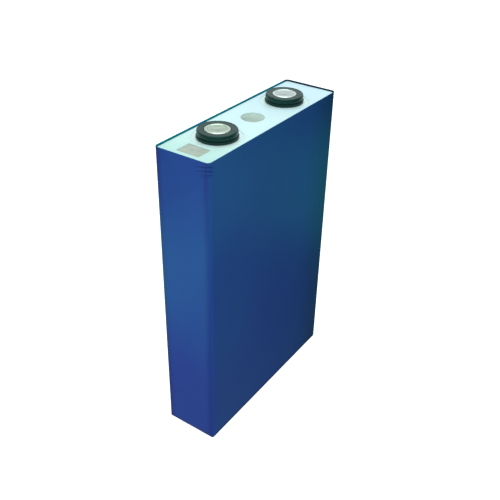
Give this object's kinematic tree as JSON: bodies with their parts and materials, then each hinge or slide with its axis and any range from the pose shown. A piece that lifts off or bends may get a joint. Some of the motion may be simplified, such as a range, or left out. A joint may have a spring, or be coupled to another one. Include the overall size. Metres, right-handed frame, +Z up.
{
  "type": "prismatic battery cell",
  "caption": "Tall rectangular lithium iron phosphate cell in a blue film wrap, with round terminals in black collars, a round vent and a code window on its pale top.",
  "frame": {"origin": "centre of the underside of the wrap, where the cell stands", "axes": "+Z up, +X along the length towards the negative terminal, +Y through the thickness"},
  "size_m": [0.1304, 0.0364, 0.201],
  "materials": {
    "wrap": "glossy deep blue PET film",
    "top_sheet": "satin pale sheet",
    "code_label": "matt grey patch",
    "can": "drawn aluminium",
    "cover": "stamped aluminium",
    "vent_disc": "thin scored aluminium",
    "vent_film": "clear film",
    "guard": "moulded polypropylene",
    "fill_plug": "rubber",
    "fill_seal": "welded disc",
    "collar": "semi-gloss black moulding",
    "pad": "machined aluminium",
    "positive_post": "riveted aluminium",
    "negative_post": "copper",
    "post_cap": "riveted aluminium",
    "seal": "fluorine rubber",
    "insulator": "moulded polypropylene",
    "positive_foil": "bright foil",
    "negative_foil": "copper",
    "tape": "amber polyimide tape",
    "cathode": "matt black coating",
    "anode": "dark graphite coating",
    "separator": "white film",
    "green_tape": "green tape",
    "bag": "clear film",
    "support": "moulded polypropylene"
  },
  "bodies": {
    "root": {"wrap_film": "wrap", "top_sheet": "top_sheet", "code_label": "code_label", "can": "can", "cover_plate": "cover", "vent_disc": "vent_disc", "vent_film": "vent_film", "vent_guard": "guard", "fill_plug": "fill_plug", "fill_seal_disc": "fill_seal", "positive_collar": "collar", "positive_pad": "pad", "positive_post": "positive_post", "positive_seal": "seal", "negative_collar": "collar", "negative_pad": "pad", "negative_post": "negative_post", "negative_post_cap": "post_cap", "negative_seal": "seal", "positive_lower_insulator": "insulator", "negative_lower_insulator": "insulator", "positive_collector": "positive_foil", "negative_collector": "negative_foil", "positive_tabs_front": "positive_foil", "positive_tabs_back": "positive_foil", "negative_tabs_front": "negative_foil", "negative_tabs_back": "negative_foil", "positive_weld_tape": "tape", "negative_weld_tape": "tape", "front_cathode": "cathode", "front_anode": "anode", "front_inner_separator": "separator", "front_outer_separator": "separator", "back_cathode": "cathode", "back_anode": "anode", "back_inner_separator": "separator", "back_outer_separator": "separator", "front_end_tape": "green_tape", "back_end_tape": "green_tape", "core_band": "green_tape", "insulation_bag": "bag", "support_plate": "support"}
  },
  "joints": []
}
